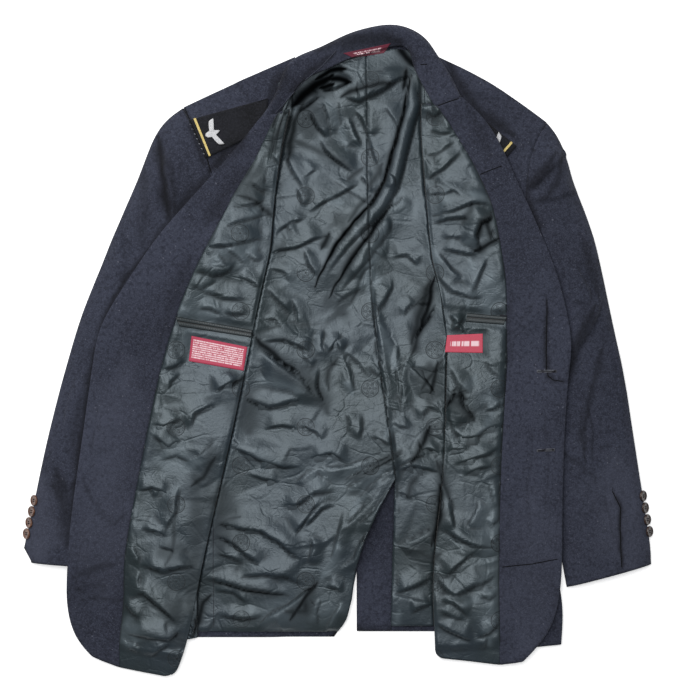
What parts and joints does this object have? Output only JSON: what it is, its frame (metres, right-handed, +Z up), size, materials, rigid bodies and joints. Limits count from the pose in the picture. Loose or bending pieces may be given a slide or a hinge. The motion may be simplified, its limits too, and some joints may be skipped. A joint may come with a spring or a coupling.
{
  "type": "blazer",
  "caption": "Navy tailored blazer laid open on its back, fronts folded outwards over the sleeves to show the satin lining, facings and centre vent.",
  "frame": {"origin": "middle of the bounding box in plan, on the surface that the blazer lies on", "axes": "+X to the wearer's left, +Y towards the collar, +Z up from the surface"},
  "size_m": [0.8534, 0.8838, 0.0384],
  "materials": {
    "wool": "matte navy wool serge",
    "lining": "grey-green satin with a woven tone-on-tone flower",
    "board": "stiff black felt",
    "gold_braid": "gold braid",
    "silver_thread": "silver thread embroidery",
    "label": "woven red label",
    "button": "brown, softly polished"
  },
  "bodies": {
    "root": {"back_left": "wool", "back_right": "wool", "front_left": "wool", "front_right": "wool", "facing_left": "wool", "facing_right": "wool", "topsleeve_left": "wool", "topsleeve_right": "wool", "undersleeve_left": "wool", "undersleeve_right": "wool", "collar": "wool", "vent_facing": "wool", "back_lining_left": "lining", "back_lining_right": "lining", "front_lining_left": "lining", "front_lining_right": "lining", "pocket_welt_left": "lining", "pocket_welt_right": "lining", "shoulder_board_left": "board", "shoulder_board_right": "board", "board_stripe_left": "gold_braid", "board_stripe_right": "gold_braid", "board_device_left": "silver_thread", "board_device_right": "silver_thread", "care_label": "label", "brand_label": "label", "neck_label": "label", "sleeve_button_left_1": "button", "sleeve_button_left_2": "button", "sleeve_button_left_3": "button", "sleeve_button_left_4": "button", "sleeve_button_right_1": "button", "sleeve_button_right_2": "button", "sleeve_button_right_3": "button", "sleeve_button_right_4": "button", "front_button_1": "button", "front_button_2": "button"}
  },
  "joints": []
}
